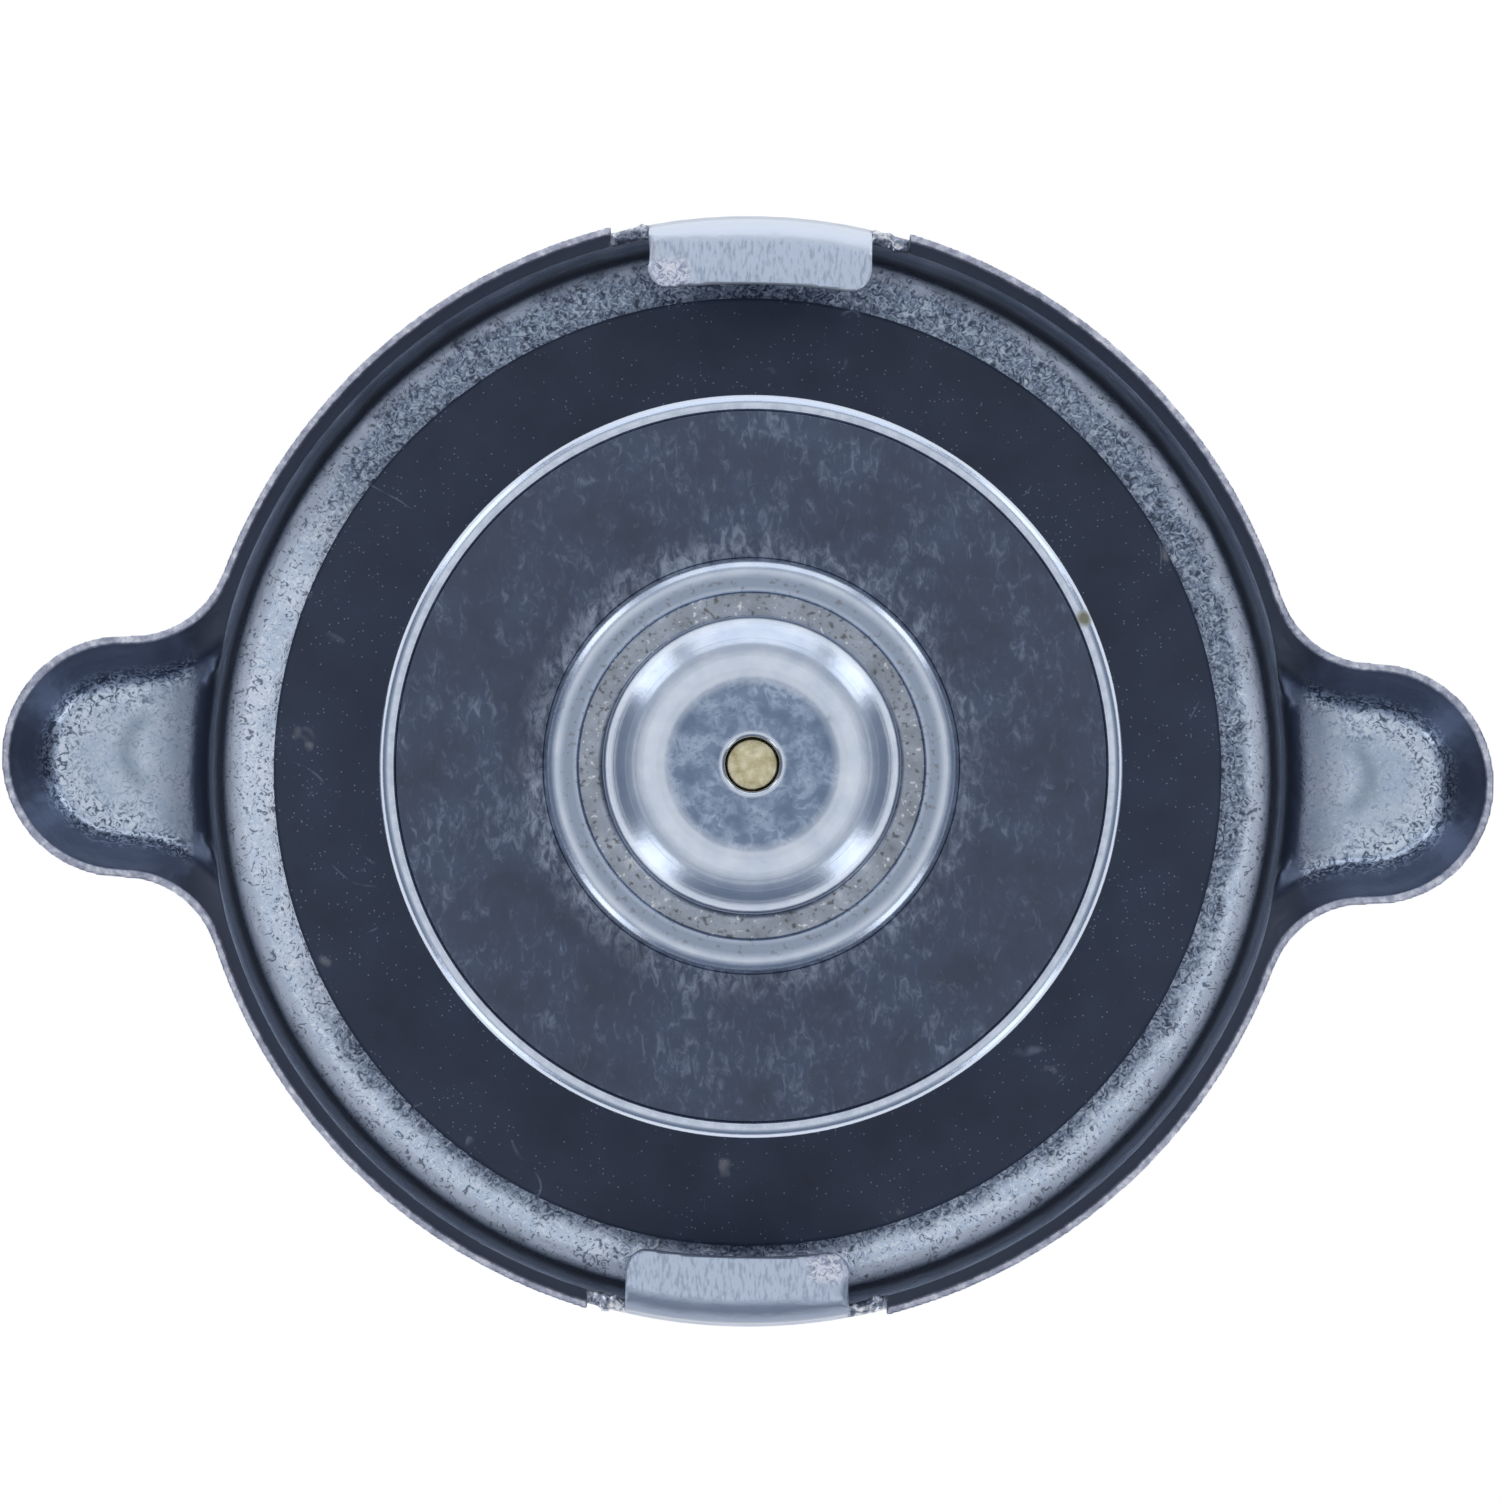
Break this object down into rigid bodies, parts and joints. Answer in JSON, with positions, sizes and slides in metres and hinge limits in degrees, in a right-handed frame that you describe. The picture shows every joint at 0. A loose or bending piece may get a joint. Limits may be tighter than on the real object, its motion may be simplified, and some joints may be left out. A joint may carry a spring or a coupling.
{
  "type": "radiator cap",
  "caption": "Stamped steel radiator pressure cap with grip ears, bayonet locking tabs, a rubber neck gasket and a spring-loaded seal with a central vacuum valve.",
  "frame": {"origin": "centre of the flat top of the cover, on which the cap lies with its underside up", "axes": "+X along the grip ears, +Y towards a locking tab, +Z along the cap's axis from the cover to the valve"},
  "size_m": [0.0864, 0.0644, 0.032],
  "materials": {
    "plated_steel": "tin-plated stamping, mottled and scratched",
    "zinc_steel": "zinc plated",
    "spring_steel": "drawn spring wire and strip",
    "bright_steel": "bright drawn steel",
    "black_rubber": "matt black rubber with dust specks",
    "scuffed_rubber": "dark rubber with cloudy scuffs",
    "brass": "dull brass"
  },
  "bodies": {
    "cover": {"cover": "plated_steel"},
    "carrier": {"swivel_rivet": "zinc_steel", "spring_disc": "spring_steel", "neck_gasket": "black_rubber", "spring_seat": "zinc_steel", "guide_cup": "zinc_steel", "pressure_spring": "spring_steel"},
    "valve": {"valve_cup": "bright_steel", "pressure_seal": "scuffed_rubber", "dome_tube": "bright_steel", "vacuum_seat": "black_rubber", "vacuum_spring": "spring_steel"},
    "vacuum": {"vacuum_valve": "brass"}
  },
  "joints": [
    {"name": "swivel", "type": "hinge", "parent": "cover", "child": "carrier", "pos_m": [0, 0, 0], "axis": [0, 0, 1], "continuous": true},
    {"name": "pressure_lift", "type": "slide", "parent": "carrier", "child": "valve", "axis": [0, 0, -1], "range_m": [0, 0.006], "stiffness_N_per_m": 4500, "springref_m": -0.006, "deforming": ["pressure_spring"]},
    {"name": "vacuum_open", "type": "slide", "parent": "valve", "child": "vacuum", "axis": [0, 0, 1], "range_m": [0, 0.002], "stiffness_N_per_m": 100, "springref_m": -0.003, "deforming": ["vacuum_spring"]}
  ]
}
